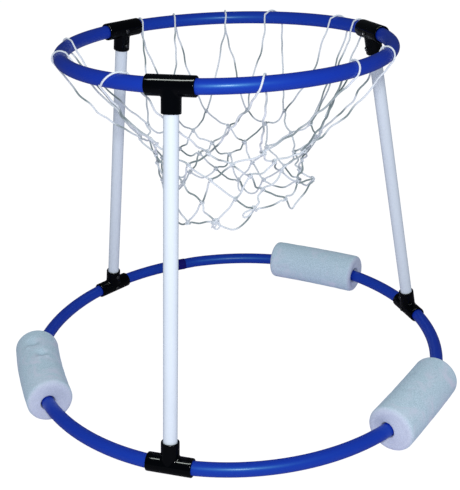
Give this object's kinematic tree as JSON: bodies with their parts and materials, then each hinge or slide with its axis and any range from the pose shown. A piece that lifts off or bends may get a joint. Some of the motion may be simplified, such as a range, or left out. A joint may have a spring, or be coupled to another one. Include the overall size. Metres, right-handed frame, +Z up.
{
  "type": "floating basketball hoop",
  "caption": "Floating pool basketball hoop: a blue pipe rim with a cord net on white pipe legs over a wide base ring with sliding foam floats.",
  "frame": {"origin": "middle of the footprint of the whole hoop, on the surface that the floats stand on", "axes": "+Z up along the hoop axis, +X to the right and +Y away as the hoop is seen from the front leg's side"},
  "size_m": [0.6982, 0.6832, 0.5401],
  "materials": {
    "pipe": "satin",
    "leg": "satin",
    "fitting": "gloss",
    "foam": "matte",
    "screw": "satin",
    "cord": "matte"
  },
  "bodies": {
    "hoop": {"rim_ring": "pipe", "rim_ring_joiner": "fitting", "base_ring": "pipe", "base_ring_coupler": "fitting", "rim_tee_front": "fitting", "rim_tee_back_left": "fitting", "rim_tee_right": "fitting", "base_tee_front": "fitting", "base_tee_back_left": "fitting", "base_tee_right": "fitting", "leg_front": "leg", "leg_back_left": "leg", "leg_right": "leg", "screw_base_front_run": "screw", "screw_base_front_branch": "screw", "screw_base_back_left_run": "screw", "screw_base_back_left_branch": "screw", "screw_base_right_run": "screw", "screw_base_right_branch": "screw", "screw_rim_front_run": "screw", "screw_rim_front_branch": "screw", "screw_rim_back_left_run": "screw", "screw_rim_back_left_branch": "screw", "screw_rim_right_run": "screw", "screw_rim_right_branch": "screw", "net": "cord"},
    "float_left": {"float_left": "foam"},
    "float_back": {"float_back": "foam"},
    "float_right": {"float_right": "foam"}
  },
  "joints": [
    {"name": "float_left_slide", "type": "hinge", "parent": "hoop", "child": "float_left", "pos_m": [0.01263, -0.00556, 0.03336], "axis": [0, 0, 1], "range_deg": [-37.3, 38.1]},
    {"name": "float_back_slide", "type": "hinge", "parent": "hoop", "child": "float_back", "pos_m": [0.01263, -0.00556, 0.03336], "axis": [0, 0, 1], "range_deg": [-20.6, 54.5]},
    {"name": "float_right_slide", "type": "hinge", "parent": "hoop", "child": "float_right", "pos_m": [0.01263, -0.00556, 0.03336], "axis": [0, 0, 1], "range_deg": [-49.7, 33.2]}
  ]
}
